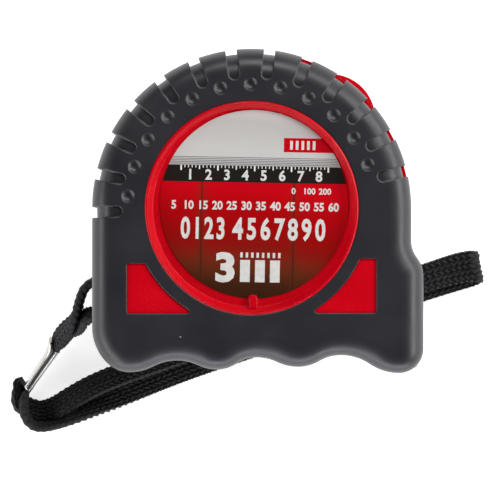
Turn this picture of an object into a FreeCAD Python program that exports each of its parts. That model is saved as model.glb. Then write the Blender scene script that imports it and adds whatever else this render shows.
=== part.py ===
import FreeCAD, Part
import math
import os

V = FreeCAD.Vector
doc = FreeCAD.newDocument("PocketTape")

# ---------------------------------------------------------------- sizes
# Millimetres and degrees.  +X is the way the blade leaves, +Y is up when the
# tape stands on its foot, +Z comes out of the front face.  The origin is on
# the reel's axis, on the plane that the belt clip rests on.
SIZES = [
    ("rim_radius", 32.7, "round top of the case, rubber included"),
    ("foot_reach", 35.2, "from the reel's axis to the front of the foot"),
    ("foot_top", 13.8, "how far below the axis the foot is at full reach"),
    ("foot_neck", 6.6, "how far below the axis the rim starts to swell out to the foot"),
    ("foot_corner", 5.0, "radius of the toe, in plan"),
    ("base_drop", 1.0, "how far the lobes reach below the round"),
    ("face_round", 4.6, "rounding of the case's two outer edges"),
    ("lobe_corner", 6.3, "radius under the heel"),
    ("heel_run", 7.6, "from the back of the case to the first lobe"),
    ("rubber_rim", 2.0, "rubber over the rim"),
    ("rubber_face", 2.5, "rubber over each face"),
    ("wall_rim", 2.0, "shell wall at the rim"),
    ("wall_face", 2.5, "shell wall at each face"),
    ("wall_base", 0.75, "shell wall under the reel"),
    ("notch_pitch", 14.0, "angle between grip notches"),
    ("notch_first", 13.5, "angle of the first grip notch"),
    ("notch_count", 13, "grip notches"),
    ("notch_width", 2.3, "width of a grip notch"),
    ("notch_deep", 1.0, "depth of a grip notch at the rim"),
    ("notch_shallow", 0.5, "depth of a grip notch on the face"),
    ("notch_inner", 26.3, "radius where a notch ends on the face"),
    ("dimple_circle", 25.25, "radius of the circle of dimples"),
    ("dimple_radius", 1.37, "radius of a dimple at the face"),
    ("dimple_deep", 0.6, "depth of a dimple"),
    ("ring_radius", 21.8, "outside of the raised ring on the front"),
    ("ring_proud", 0.3, "how far the ring stands over the rubber"),
    ("label_floor_radius", 20.15, "floor inside the ring"),
    ("label_floor_deep", 1.9, "ring's crest down to the floor"),
    ("label_radius", 19.2, "label disc"),
    ("label_thick", 0.15, "label disc"),
    ("label_shift_x", 0.48, "label stuck off centre"),
    ("label_shift_y", 0.78, "label stuck off centre"),
    ("nub_width", 1.6, "key at the bottom of the ring"),
    ("nub_long", 2.0, "key at the bottom of the ring"),
    ("window_radius", 24.35, "inner curve of both corner windows"),
    ("window_top", 10.3, "top of a corner window below the axis"),
    ("window_foot", 21.4, "bottom of a corner window below the axis"),
    ("window_side", 25.4, "outer side of a corner window from the axis"),
    ("window_sunk", 0.35, "window's red pad below the rubber"),
    ("land_radius", 32.55, "lock track on the rim"),
    ("land_half", 7.0, "half width of the lock track"),
    ("land_start", 5.0, "angle where the lock track starts"),
    ("land_end", 77.0, "angle where the lock track ends"),
    ("button_start", 39.5, "lock button's front end, unlocked"),
    ("button_end", 58.0, "lock button's rear end, unlocked"),
    ("button_half", 5.4, "half width of the lock button"),
    ("button_rise", 1.2, "lock button's top over the round of the case"),
    ("lock_travel", 12.0, "angle that the lock button slides through"),
    ("neck_half", 3.6, "half width of the button's neck"),
    ("tongue_thick", 1.2, "brake tongue"),
    ("tongue_half", 5.5, "half width of the brake tongue"),
    ("blade_width", 16.0, "width of the blade"),
    ("blade_side", 0.1, "blade's edge to the reel's flange"),
    ("blade_thick", 0.13, "thickness of the blade"),
    ("blade_crown", 0.8, "height of the blade's curl across its width"),
    ("coil_build", 4.37, "radial thickness of the wound blade"),
    ("coil_turns", 23, "turns of blade on the reel"),
    ("reel_margin", 6.28, "free room round the wound blade"),
    ("hub_wall", 1.2, "wall of the reel's hub"),
    ("flange_thick", 1.0, "each flange of the reel"),
    ("flange_over", 0.48, "flange past the wound blade"),
    ("arbor_radius", 4.0, "fixed arbor under the reel"),
    ("arbor_seat", 1.5, "depth of the arbor in each shell"),
    ("spring_thick", 0.25, "return spring's strip"),
    ("spring_width", 12.0, "return spring's strip"),
    ("spring_turns", 9, "turns of the return spring"),
    ("run_clear", 0.05, "running clearance at the arbor"),
    ("side_clear", 0.4, "reel's flanges to the shells"),
    ("slide_clear", 0.15, "lock button and tongue to the shell"),
    ("mouth_high", 4.6, "height of the blade's mouth"),
    ("mouth_side", 0.6, "mouth past each edge of the blade"),
    ("guide_wall", 1.0, "wall of the mouth's lining"),
    ("guide_long", 5.0, "length of the mouth's lining"),
    ("hook_thick", 1.0, "end hook's sheet"),
    ("hook_half", 8.2, "half width of the end hook"),
    ("hook_drop", 10.4, "end hook below the blade"),
    ("hook_tongue", 11.0, "length of the end hook's tongue under the blade"),
    ("hook_play", 1.0, "the end hook's own thickness, which it slides by"),
    ("rivet_radius", 0.9, "rivet through blade and hook"),
    ("rivet_head", 1.5, "rivet's head"),
    ("recess_side", 1.4, "hook's recess in the rubber past each edge of the blade"),
    ("bumper_thick", 1.1, "pad behind the end hook"),
    ("screw_radius", 1.2, "case screw's shank"),
    ("screw_head", 2.1, "case screw's head"),
    ("screw_head_high", 1.3, "case screw's head"),
    ("boss_radius", 2.4, "boss round a case screw"),
    ("bar_radius", 1.3, "strap bar"),
    ("bar_inset", 3.3, "strap bar in from the back of the case"),
    ("bar_below", 18.3, "strap bar below the axis"),
    ("pocket_half", 6.5, "half width of the strap's pocket"),
    ("strap_thick", 1.8, "wrist strap"),
    ("ferrule_long", 10.4, "crimped ferrule on the strap"),
    ("ferrule_wide", 3.8, "crimped ferrule on the strap"),
    ("ferrule_high", 7.2, "crimped ferrule on the strap"),
    ("sheet_thick", 1.0, "belt clip's sheet"),
    ("belt_gap", 4.6, "belt clip's inner face to the case"),
    ("clip_half", 7.0, "half width of the belt clip"),
    ("clip_top", 23.0, "top of the belt clip's bend over the axis"),
    ("clip_foot", 14.0, "flat of the belt clip below the axis"),
    ("clip_tip", 2.6, "belt clip's turned-in tip"),
    ("clip_inner", 6.5, "end of the belt clip's inner leg over the axis"),
    ("clip_screw_at", 13.0, "belt clip's screw over the axis"),
    ("clip_screw_radius", 1.5, "belt clip's screw"),
    ("clip_screw_head", 2.9, "belt clip's screw"),
    ("driver_hole", 3.4, "hole for the driver in the clip's outer leg"),
]
sheet = doc.addObject("Spreadsheet::Sheet", "Sizes")
for row, (alias, value, note) in enumerate(SIZES, start=1):
    sheet.set("A%d" % row, str(value))
    sheet.setAlias("A%d" % row, alias)
    sheet.set("B%d" % row, note)
doc.recompute()


class Table(object):
    def __getattr__(self, name):
        return float(sheet.get(name))


S = Table()

# levels along Z and the radii that others share
z_back = S.sheet_thick + S.belt_gap
case_half = S.blade_width / 2 + S.blade_side + S.flange_thick + S.side_clear + S.wall_face + S.rubber_face
z_mid = z_back + case_half
z_face = z_mid + case_half
z_shell_back = z_back + S.rubber_face
z_shell_face = z_face - S.rubber_face
z_low = z_shell_back + S.wall_face
z_high = z_shell_face - S.wall_face
shell_radius = S.rim_radius - S.rubber_rim
cavity_radius = shell_radius - S.wall_rim
coil_radius = cavity_radius - S.reel_margin
hub_radius = coil_radius - S.coil_build
base_y = -(S.rim_radius + S.base_drop)
shell_base = -(cavity_radius + S.wall_base)
blade_top = -(coil_radius + 0.12)          # upper face of the straight run, mid width
blade_low = z_mid - S.blade_width / 2
blade_high = z_mid + S.blade_width / 2
mouth_mid = blade_top - 0.35
front_x = S.foot_reach - S.rubber_rim - 0.15   # outer face of the shell at the mouth

# the same levels for the sheet's expressions
X_BACK = "(Sizes.sheet_thick + Sizes.belt_gap)"
X_ROOM = "(Sizes.blade_width / 2 + Sizes.blade_side + Sizes.flange_thick + Sizes.side_clear)"
X_HALF = "(%s + Sizes.wall_face + Sizes.rubber_face)" % X_ROOM
X_MID = "(%s + %s)" % (X_BACK, X_HALF)
X_LOW = "(%s - %s)" % (X_MID, X_ROOM)
X_HIGH = "(%s + %s)" % (X_MID, X_ROOM)
X_SHELL = "(Sizes.rim_radius - Sizes.rubber_rim)"
X_CAVITY = "(%s - Sizes.wall_rim)" % X_SHELL
X_COIL = "(%s - Sizes.reel_margin)" % X_CAVITY
X_HUB = "(%s - Sizes.coil_build)" % X_COIL
X_BLADE = "(-(%s + 0.12))" % X_COIL
X_FRONT = "(Sizes.foot_reach - Sizes.rubber_rim - 0.15)"
NODES = []


def node(obj, name):
    obj.Label = name
    NODES.append(obj)
    return obj


def feature(name, shape):
    obj = doc.addObject("Part::Feature", name + "_solid")
    obj.Shape = shape
    return node(obj, name)


def primitive(kind, name, where=None, **sizes):
    obj = doc.addObject("Part::" + kind, name)
    for prop, text in sizes.items():
        obj.setExpression(prop, text)
    for axis, text in (where or {}).items():
        obj.setExpression("Placement.Base." + axis, text)
    return obj


def joined(kind, name, base, *tools):
    if kind == "Cut":
        obj = doc.addObject("Part::Cut", name)
        obj.Base = base
        if len(tools) == 1:
            obj.Tool = tools[0]
        else:
            both = doc.addObject("Part::MultiFuse", name + "_tools")
            both.Shapes = list(tools)
            obj.Tool = both
    else:
        obj = doc.addObject("Part::MultiFuse", name)
        obj.Shapes = [base] + list(tools)
    return obj


def plane(body, role):
    return [f for f in body.Origin.OriginFeatures if f.Role == role][0]


def sketch(body, name, role, offset=None):
    s = body.newObject("Sketcher::SketchObject", name)
    s.AttachmentSupport = (plane(body, role), [""])
    s.MapMode = "FlatFace"
    if offset:
        s.setExpression("AttachmentOffset.Base.z", offset)
    return s


def circle(s, radius, cx=None, cy=None):
    import Sketcher
    i = s.addGeometry(Part.Circle(V(0, 0, 0), V(0, 0, 1), 1.0), False)
    c = s.addConstraint(Sketcher.Constraint("Radius", i, 1.0))
    s.setExpression("Constraints[%d]" % c, radius)
    for kind, text in (("DistanceX", cx), ("DistanceY", cy)):
        if text is None:
            s.addConstraint(Sketcher.Constraint("PointOnObject", i, 3, -2 if kind == "DistanceX" else -1))
        else:
            c = s.addConstraint(Sketcher.Constraint(kind, -1, 1, i, 3, 1.0))
            s.setExpression("Constraints[%d]" % c, text)
    return i


def profile(s, points):
    """A closed outline of straight lines: points are pairs of expressions, each measured from the origin."""
    import Sketcher
    now = [(float(evaluate(a)), float(evaluate(b))) for a, b in points]
    n = len(now)
    ids = [s.addGeometry(Part.LineSegment(V(*now[k], 0), V(*now[(k + 1) % n], 0)), False) for k in range(n)]
    for k in range(n):
        s.addConstraint(Sketcher.Constraint("Coincident", ids[k], 2, ids[(k + 1) % n], 1))
    for k, (a, b) in enumerate(points):
        for kind, text, value in (("DistanceX", a, now[k][0]), ("DistanceY", b, now[k][1])):
            if abs(value) < 1e-9:
                s.addConstraint(Sketcher.Constraint("PointOnObject", ids[k], 1, -2 if kind == "DistanceX" else -1))
            elif value > 0:
                c = s.addConstraint(Sketcher.Constraint(kind, -1, 1, ids[k], 1, value))
                s.setExpression("Constraints[%d]" % c, text)
            else:
                c = s.addConstraint(Sketcher.Constraint(kind, ids[k], 1, -1, 1, -value))
                s.setExpression("Constraints[%d]" % c, "-(%s)" % text)
    return s


def evaluate(text):
    return sheet.evalExpression(str(text))


def turned(name, points):
    """A body turned about Z from a profile of (radius, height) pairs."""
    body = doc.addObject("PartDesign::Body", name)
    s = profile(sketch(body, name + "_profile", "XZ_Plane"), points)
    doc.recompute()
    r = body.newObject("PartDesign::Revolution", name + "_turn")
    r.Profile = s
    r.ReferenceAxis = (s, ["V_Axis"])
    r.Angle = 360
    body.Tip = r
    return body


# ------------------------------------------------------- plain solid helpers
def polar(r, deg, z=0.0):
    a = math.radians(deg)
    return V(r * math.cos(a), r * math.sin(a), z)


def arc(centre, r, a0, a1, z=0.0):
    """An arc of a circle from angle a0 to a1, which may run either way round."""
    p = [V(centre[0], centre[1], z) + polar(r, a) for a in (a0, (a0 + a1) / 2, a1)]
    return Part.Arc(*p).toShape()


def sector(r0, r1, a0, a1, z0, z1):
    edges = [arc((0, 0), r1, a0, a1, z0), Part.LineSegment(polar(r1, a1, z0), polar(r0, a1, z0)).toShape(),
             arc((0, 0), r0, a1, a0, z0), Part.LineSegment(polar(r0, a0, z0), polar(r1, a0, z0)).toShape()]
    return Part.Face(Part.Wire(edges)).extrude(V(0, 0, z1 - z0))


def prism(points, z0, z1):
    pts = [V(x, y, z0) for x, y in points]
    return Part.Face(Part.makePolygon(pts + [pts[0]])).extrude(V(0, 0, z1 - z0))


def box(x0, x1, y0, y1, z0, z1):
    return Part.makeBox(x1 - x0, y1 - y0, z1 - z0, V(x0, y0, z0))


def rod(x, y, r, z0, z1):
    return Part.makeCylinder(r, z1 - z0, V(x, y, z0), V(0, 0, 1))


def rounded(points, radii, z0, z1):
    """A prism whose corners are rounded in plan."""
    n = len(points)
    edges, ends = [], []
    for k in range(n):
        p, a, b = V(*points[k], z0), V(*points[k - 1], z0), V(*points[(k + 1) % n], z0)
        u, w = (a - p).normalize(), (b - p).normalize()
        half = u.getAngle(w) / 2
        cut = radii[k] / math.tan(half)
        mid = (u + w).normalize() * (radii[k] / math.sin(half) - radii[k])
        edges.append(Part.Arc(p + u * cut, p + mid, p + w * cut).toShape())
        ends.append((p + u * cut, p + w * cut))
    wire = []
    for k in range(n):
        wire.append(edges[k])
        wire.append(Part.LineSegment(ends[k][1], ends[(k + 1) % n][0]).toShape())
    return Part.Face(Part.Wire(Part.__sortEdges__(wire))).extrude(V(0, 0, z1 - z0))


def swell(p, q, first_turn):
    """Two equal arcs from p to q that leave and arrive along the same direction.
    first_turn is the start direction in degrees."""
    d = V(math.cos(math.radians(first_turn)), math.sin(math.radians(first_turn)), 0)
    chord = q - p
    along, across = chord.dot(d), d.cross(chord).z
    half = math.atan2(across, along)
    mid = (p + q) * 0.5
    r = along / (2 * math.sin(2 * abs(half)))
    side = 1 if across > 0 else -1
    nrm = V(-d.y, d.x, 0) * side
    c1, c2 = p + nrm * r, q - nrm * r
    out = []
    for a, b, c in ((p, mid, c1), (mid, q, c2)):
        m = (a + b) * 0.5 - c
        out.append(Part.Arc(a, c + m.normalize() * r, b).toShape())
    return out


def case_outline(z):
    """The whole case in plan: round top, toe at the right, four lobes below."""
    R, fx = S.rim_radius, S.foot_reach
    pts = {}
    e = []
    right = V(R, 0, z)
    left = V(-R, 0, z)
    e.append(Part.Arc(right, V(0, R, z), left).toShape())
    # heel: two arcs under the back corner
    lobe = V(-R + S.heel_run, base_y + 0.1, z)
    turn = 41.8
    s, c = math.sin(math.radians(turn)), math.cos(math.radians(turn))
    r1 = S.lobe_corner
    r2 = (S.heel_run - r1 * s) / (1 - s)
    knee = V(lobe.x - r1 * s, lobe.y + r1 * (1 - c), z)
    top = V(-R, knee.y + r2 * c, z)
    e.append(Part.LineSegment(left, top).toShape())
    c2 = V(-R + r2, top.y, z)
    m = ((top + knee) * 0.5 - c2).normalize() * r2
    e.append(Part.Arc(top, c2 + m, knee).toShape())
    c1 = V(lobe.x, lobe.y + r1, z)
    m = ((knee + lobe) * 0.5 - c1).normalize() * r1
    e.append(Part.Arc(knee, c1 + m, lobe).toShape())
    # three finger scallops between four lobes, each step a pair of arcs
    toe = V(fx - S.foot_corner, base_y - 0.1, z)
    steps = [(9.9, 2.5), (18.1, 0.65), (26.0, 3.15), (34.6, 1.2), (43.35, 3.6)]
    chain = [lobe] + [V(lobe.x + dx, base_y + dy, z) for dx, dy in steps] + [toe]
    for p, q in zip(chain, chain[1:]):
        e += swell(p, q, 0.0)
    up = V(fx, toe.y + S.foot_corner, z)
    e.append(Part.Arc(toe, V(toe.x, up.y, z) + polar(S.foot_corner, -45), up).toShape())
    brow = V(fx, -S.foot_top, z)
    e.append(Part.LineSegment(up, brow).toShape())
    neck = V(R, -S.foot_neck, z)
    e += swell(brow, neck, 90.0)
    e.append(Part.LineSegment(neck, right).toShape())
    return Part.Wire(Part.__sortEdges__(e))


def shell_plan(inset, z0, z1):
    """The shell in plan, or a part of it that lies further in."""
    R = shell_radius - inset
    fx = front_x - inset
    base = shell_base + inset
    round_top = rod(0, 0, R, z0, z1).common(box(-2 * R, 2 * R, base, 2 * R, z0, z1))
    body = rounded([(-R, 0), (-R, base), (fx, base), (fx, -S.foot_top - 0.6), (R * 0.55, -S.foot_top + 6.0 - 0.6), (0, 0)],
                   [0.3, 7.0 - min(inset, 3), 1.5, 2.0, 0.5, 0.3], z0, z1)
    return round_top.fuse(body).removeSplitter()


def window(side, z0, z1):
    """A corner window: two straight sides and a long curve about the reel's axis."""
    R, sx = S.window_radius, S.window_side
    yt, yf = -S.window_top, -S.window_foot
    if side < 0:
        yt -= 1.0
        yf -= 0.1
    top_x = math.sqrt(R * R - yt * yt)
    tip_x = math.sqrt(R * R - yf * yf)
    a0, a1 = math.degrees(math.atan2(yt, top_x)), math.degrees(math.atan2(yf, tip_x))
    pts = [polar(R, a0, z0), polar(R, (a0 + a1) / 2, z0), polar(R, a1, z0)]
    corner = [V(sx, yf, z0), V(sx, yt, z0)]
    e = [Part.Arc(*pts).toShape(), Part.LineSegment(pts[2], corner[0]).toShape(),
         Part.LineSegment(corner[0], corner[1]).toShape(), Part.LineSegment(corner[1], pts[0]).toShape()]
    solid = Part.Face(Part.Wire(e)).extrude(V(0, 0, z1 - z0))
    upright = [x for x in solid.Edges if len(x.Vertexes) == 2 and abs(x.Vertexes[0].Z - x.Vertexes[1].Z) > 0.9 * abs(z1 - z0)]
    solid = solid.makeFillet(0.45, upright)
    if side < 0:
        solid = solid.mirror(V(0, 0, 0), V(1, 0, 0))
    return solid


def mirrored(shape):
    """The rear half's twin of a front feature."""
    return shape.mirror(V(0, 0, z_mid), V(0, 0, 1))


def smooth(shape):
    return shape.removeSplitter()


# ------------------------------------------------------- shared cutters
screw_places = [(26.2 / 28.7 * cavity_radius * math.cos(math.radians(150)), 26.2 / 28.7 * cavity_radius * math.sin(math.radians(150))),
                (26.2 / 28.7 * cavity_radius * math.cos(math.radians(88)), 26.2 / 28.7 * cavity_radius * math.sin(math.radians(88))),
                (-shell_radius + 6.4, shell_base + 3.6),
                (front_x - 6.0, shell_base + 2.3)]
pocket_plan = [(-S.rim_radius - 1.5, -S.bar_below + 5.3), (-S.rim_radius + 4.2, -S.bar_below + 5.1),
               (-S.rim_radius + 7.1, -S.bar_below + 2.3), (-S.rim_radius + 7.1, -S.bar_below - 3.1),
               (-S.rim_radius + 4.2, -S.bar_below - 5.3), (-S.rim_radius - 1.5, -S.bar_below - 5.3)]
pocket = prism(pocket_plan, z_mid - S.pocket_half, z_mid + S.pocket_half)
bar_x, bar_y = -S.rim_radius + S.bar_inset, -S.bar_below
bar_hole = rod(bar_x, bar_y, S.bar_radius, z_mid - S.pocket_half - 2.5, z_mid + S.pocket_half + 2.5)
hook_top = mouth_mid + S.mouth_high / 2
recess_half = S.blade_width / 2 + S.recess_side
recess = box(front_x, S.foot_reach + 5, base_y - 5, hook_top + 1.6, z_mid - recess_half, z_mid + recess_half)
seat_half = S.blade_width / 2 + S.mouth_side + S.guide_wall
guide_seat = box(front_x - S.guide_long, front_x + 0.01, mouth_mid - S.mouth_high / 2 - S.guide_wall,
                 mouth_mid + S.mouth_high / 2 + S.guide_wall, z_mid - seat_half, z_mid + seat_half)
bumper_low, bumper_high = blade_top - S.hook_drop + 2.0, mouth_mid - S.mouth_high / 2 - S.guide_wall - 0.4
slot_start, slot_end = S.button_start + 2.5 - S.lock_travel - 0.6, S.button_end - 2.5 + 0.6


def shell_outside(z0, z1):
    """What the shells fill outwards, both halves: the rubber is moulded over this."""
    solid = shell_plan(0, z_shell_back, z_shell_face)
    land = sector(shell_radius - 1.0, S.land_radius - 32.7 + S.rim_radius, S.land_start, S.land_end, z_mid - S.land_half, z_mid + S.land_half)
    solid = solid.fuse(land)
    ring = rod(0, 0, S.ring_radius, z_shell_face - 0.5, z_face + S.ring_proud)
    ring = ring.makeFillet(0.5, [e for e in ring.Edges if e.BoundBox.ZMin > z_face])
    disc = rod(0, 0, S.ring_radius, z_back, z_shell_back + 0.5)
    pads = [window(k, z_shell_face - 0.5, z_face - S.window_sunk) for k in (1, -1)]
    solid = solid.fuse([ring, disc] + pads + [mirrored(p) for p in pads])
    return solid


def cavities():
    """What is hollow inside the shells."""
    room = rod(0, 0, cavity_radius, z_low, z_high)
    half = S.blade_width / 2 + S.mouth_side
    run = box(4.0, front_x + 3, mouth_mid - S.mouth_high / 2, mouth_mid + S.mouth_high / 2, z_mid - half, z_mid + half)
    slot = sector(cavity_radius - 1, S.rim_radius + 6, slot_start, slot_end, z_mid - S.neck_half - S.slide_clear, z_mid + S.neck_half + S.slide_clear)
    return room.fuse([run, slot])


outside = shell_outside(0, 0)
hollow = cavities()
below = box(-200, 200, -200, 200, -50, z_mid)
above = box(-200, 200, -200, 200, z_mid, 200)

# ------------------------------------------------------- shells
posts = [rod(x, y, S.boss_radius, z_low - 0.5, z_high + 0.5) for x, y in screw_places[:2]]
seats = [rod(0, 0, S.arbor_radius + 2.2, z_low - 0.3, z_low + S.side_clear - 0.1),
         rod(0, 0, S.arbor_radius + 2.2, z_high - S.side_clear + 0.1, z_high + 0.3)]
solid = outside.cut(hollow).fuse(posts + seats)
solid = solid.cut([pocket, bar_hole, guide_seat])
solid = solid.cut(rod(0, 0, S.arbor_radius, z_low - S.arbor_seat, z_high + S.arbor_seat))
screw_low = z_shell_back + 0.6
for x, y in screw_places:
    solid = solid.cut([rod(x, y, S.screw_radius, z_shell_back - 1, z_high - 0.4),
                       rod(x, y, S.screw_head, z_back - 1, screw_low + S.screw_head_high)])
solid = solid.cut(rod(0, S.clip_screw_at, S.clip_screw_radius, z_back - 1, z_low + 0.0))
bumper_cut = box(front_x - S.bumper_thick + 0.0, front_x + 1, bumper_low, bumper_high, z_mid - 6, z_mid + 6)
solid = solid.cut(bumper_cut)
dish = Part.makeCone(S.label_floor_radius, S.ring_radius - 0.55, S.label_floor_deep, V(0, 0, z_face + S.ring_proud - S.label_floor_deep), V(0, 0, 1))
solid_front = solid.common(above).cut(dish)
nub_y = -S.label_floor_radius - 0.3
floor_z = z_face + S.ring_proud - S.label_floor_deep
nub = box(0.26 - S.nub_width / 2, 0.26 + S.nub_width / 2, nub_y, nub_y + S.nub_long, floor_z - 0.2, floor_z + 0.8)
nub = nub.fuse(rod(0.26, nub_y + S.nub_long, S.nub_width / 2, floor_z - 0.2, floor_z + 0.8))
solid_front = smooth(solid_front.fuse(nub))
feature("front_shell", solid_front)
rear = solid.common(below)
# a shallow seat in the rear disc keeps the clip's inner leg from turning
feature("rear_shell", smooth(rear))

# ------------------------------------------------------- rubber jackets
wire = case_outline(z_back)
block = Part.Face(wire).extrude(V(0, 0, 2 * case_half))
rims = [e for e in block.Edges if e.BoundBox.ZLength < 1e-6]
block = block.makeFillet(S.face_round, rims)
core = rod(0, 0, S.rim_radius - S.notch_deep, z_back + S.notch_shallow, z_face - S.notch_shallow)
core = core.makeFillet(S.face_round - 0.1, [e for e in core.Edges if e.BoundBox.ZLength < 1e-6])
notches = []
for k in range(int(S.notch_count)):
    a = S.notch_first + k * S.notch_pitch
    cut = box(S.notch_inner + S.notch_width / 2, S.rim_radius + 4, -S.notch_width / 2, S.notch_width / 2, z_back - 1, z_face + 1)
    cut = cut.fuse(rod(S.notch_inner + S.notch_width / 2, 0, S.notch_width / 2, z_back - 1, z_face + 1))
    cut.rotate(V(0, 0, 0), V(0, 0, 1), a)
    notches.append(cut.cut(core))
block = block.cut(notches)
ball_r = (S.dimple_radius ** 2 + S.dimple_deep ** 2) / (2 * S.dimple_deep)
dimples = []
for k in range(int(S.notch_count) - 1):
    a = S.notch_first + (k + 0.5) * S.notch_pitch
    ball = Part.makeSphere(ball_r, polar(S.dimple_circle, a, z_face + ball_r - S.dimple_deep))
    dimples += [ball, mirrored(ball)]
block = block.cut(dimples)
block = block.cut(outside)
holes = [rod(0, 0, S.ring_radius, z_face - S.rubber_face - 0.2, z_face + 2), rod(0, 0, S.ring_radius, z_back - 2, z_shell_back + 0.2)]
holes += [window(k, z_shell_face - 0.2, z_face + 2) for k in (1, -1)]
holes += [mirrored(window(k, z_shell_face - 0.2, z_face + 2)) for k in (1, -1)]
land_hole = sector(shell_radius - 0.2, S.rim_radius + 5, S.land_start, S.land_end, z_mid - S.land_half, z_mid + S.land_half)
block = block.cut(holes + [land_hole, pocket, recess, bumper_cut, bar_hole])
block = block.cut([rod(x, y, S.screw_head + 0.25, z_back - 1, z_shell_back + 0.5) for x, y in screw_places])
feature("front_jacket", smooth(block.common(above)))
feature("rear_jacket", smooth(block.common(below)))

# ------------------------------------------------------- label
body = doc.addObject("PartDesign::Body", "label_body")
s = sketch(body, "label_sketch", "XY_Plane")
circle(s, "Sizes.label_radius", "Sizes.label_shift_x", "Sizes.label_shift_y")
doc.recompute()
pad = body.newObject("PartDesign::Pad", "label_pad")
pad.Profile = s
pad.setExpression("Length", "Sizes.label_thick")
body.Tip = pad
key = primitive("Box", "label_key", {"x": "0.26 - Sizes.nub_width / 2 - 0.15", "y": "-Sizes.label_floor_radius - 1", "z": "-1"},
                Length="Sizes.nub_width + 0.3", Width="Sizes.nub_long + 1.7 + Sizes.nub_width / 2 - 1", Height="3")
label = joined("Cut", "label_cut", body, key)
label.setExpression("Placement.Base.z", "%s + %s + Sizes.ring_proud - Sizes.label_floor_deep" % (X_MID, X_HALF))
node(label, "front_label")

# ------------------------------------------------------- arbor, spring, reel
body = doc.addObject("PartDesign::Body", "arbor_body")
s = sketch(body, "arbor_round", "XY_Plane", "%s - Sizes.arbor_seat" % X_LOW)
circle(s, "Sizes.arbor_radius")
doc.recompute()
pad = body.newObject("PartDesign::Pad", "arbor_pad")
pad.Profile = s
pad.setExpression("Length", "%s - %s + 2 * Sizes.arbor_seat" % (X_HIGH, X_LOW))
doc.recompute()
s = sketch(body, "arbor_slot", "XY_Plane", "%s + 1.6" % X_LOW)
profile(s, [("Sizes.arbor_radius + 1", "0.3"), ("-0.8", "0.3"), ("-0.8", "-0.3"), ("Sizes.arbor_radius + 1", "-0.3")])
doc.recompute()
cut = body.newObject("PartDesign::Pocket", "arbor_pocket")
cut.Profile = s
cut.Reversed = True
cut.setExpression("Length", "%s - %s - 3.2" % (X_HIGH, X_LOW))
body.Tip = cut
node(body, "arbor")


def spiral(r_in, r_out, turns, thick, z0, height, start):
    """A strip wound in half-turn arcs: the outer face, the end, the inner face back, and the other end."""
    n = int(turns) * 2
    step = (r_out - r_in - thick) / n
    outer, inner = [], []
    angle, r = start, r_out
    centre = V(0, 0, z0)
    for k in range(n):
        nxt = r - step
        c = centre + polar((r - nxt) / 2, angle)
        rad = (r + nxt) / 2
        outer.append(Part.Arc(c + polar(rad, angle), c + polar(rad, angle + 90), c + polar(rad, angle + 180)).toShape())
        thin = rad - thick
        inner.append(Part.Arc(c + polar(thin, angle), c + polar(thin, angle + 90), c + polar(thin, angle + 180)).toShape())
        r = nxt
        angle += 180
    first = Part.LineSegment(outer[0].Vertexes[0].Point, inner[0].Vertexes[0].Point).toShape()
    last = Part.LineSegment(outer[-1].Vertexes[-1].Point, inner[-1].Vertexes[-1].Point).toShape()
    wire = Part.Wire(Part.__sortEdges__(outer + [last] + inner + [first]))
    return Part.Face(wire).extrude(V(0, 0, height))


hub_in = hub_radius - S.hub_wall
feature("return_spring", spiral(S.arbor_radius + 0.2, hub_in - 0.15, S.spring_turns, S.spring_thick, z_mid - S.spring_width / 2, S.spring_width, 40))
feature("blade_coil", spiral(hub_radius + 0.15, coil_radius, S.coil_turns, S.blade_thick, blade_low, S.blade_width, -90))

X_FLO = "(%s + Sizes.side_clear)" % X_LOW
X_FHI = "(%s - Sizes.side_clear)" % X_HIGH
X_BORE = "(Sizes.arbor_radius + Sizes.run_clear)"
X_FR = "(%s + Sizes.flange_over)" % X_COIL
hub = turned("reel_hub_body", [
    (X_BORE, X_FLO), (X_FR, X_FLO), (X_FR, "%s + Sizes.flange_thick" % X_FLO),
    (X_HUB, "%s + Sizes.flange_thick" % X_FLO), (X_HUB, "%s - Sizes.flange_thick" % X_FHI),
    ("%s - Sizes.hub_wall" % X_HUB, "%s - Sizes.flange_thick" % X_FHI),
    ("%s - Sizes.hub_wall" % X_HUB, "%s + Sizes.flange_thick" % X_FLO),
    (X_BORE, "%s + Sizes.flange_thick" % X_FLO)])
node(hub, "reel_hub")
cap = turned("reel_cap_body", [
    (X_BORE, "%s - Sizes.flange_thick" % X_FHI), (X_FR, "%s - Sizes.flange_thick" % X_FHI), (X_FR, X_FHI), (X_BORE, X_FHI)])
node(cap, "reel_cap")

# ------------------------------------------------------- blade, hook, mouth
crown_r = ((S.blade_width / 2) ** 2 + S.blade_crown ** 2) / (2 * S.blade_crown)


def crowned(top, half, thick, x0, x1):
    """A strip whose edges curl up: its middle's upper face is at y = top."""
    a = math.asin(half / crown_r)
    pts = []
    for rr in (crown_r, crown_r + thick):
        pts.append([V(x0, top + crown_r - rr * math.cos(t), z_mid + rr * math.sin(t)) for t in (-a, 0, a)])
    e = [Part.Arc(*pts[0]).toShape(), Part.LineSegment(pts[0][2], pts[1][2]).toShape(),
         Part.Arc(*reversed(pts[1])).toShape(), Part.LineSegment(pts[1][0], pts[0][0]).toShape()]
    return Part.Face(Part.Wire(e)).extrude(V(x1 - x0, 0, 0))


hook_x = front_x + 0.25                     # inner face of the hook's plate at rest
blade_start = 6.5
strip = crowned(blade_top, S.blade_width / 2, S.blade_thick, blade_start, hook_x - 0.15)
tongue_top = blade_top - S.blade_thick - 0.02
rivet_x = [hook_x - S.hook_tongue + 3.0, hook_x - 3.4]
rivet_z = [z_mid - 3.4, z_mid + 3.4]
rivet_holes = [Part.makeCylinder(S.rivet_radius, 4, V(x, blade_top - 2.5, z), V(0, 1, 0)) for x in rivet_x for z in rivet_z]
strip = strip.cut(rivet_holes)
feature("blade_end", strip)

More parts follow.
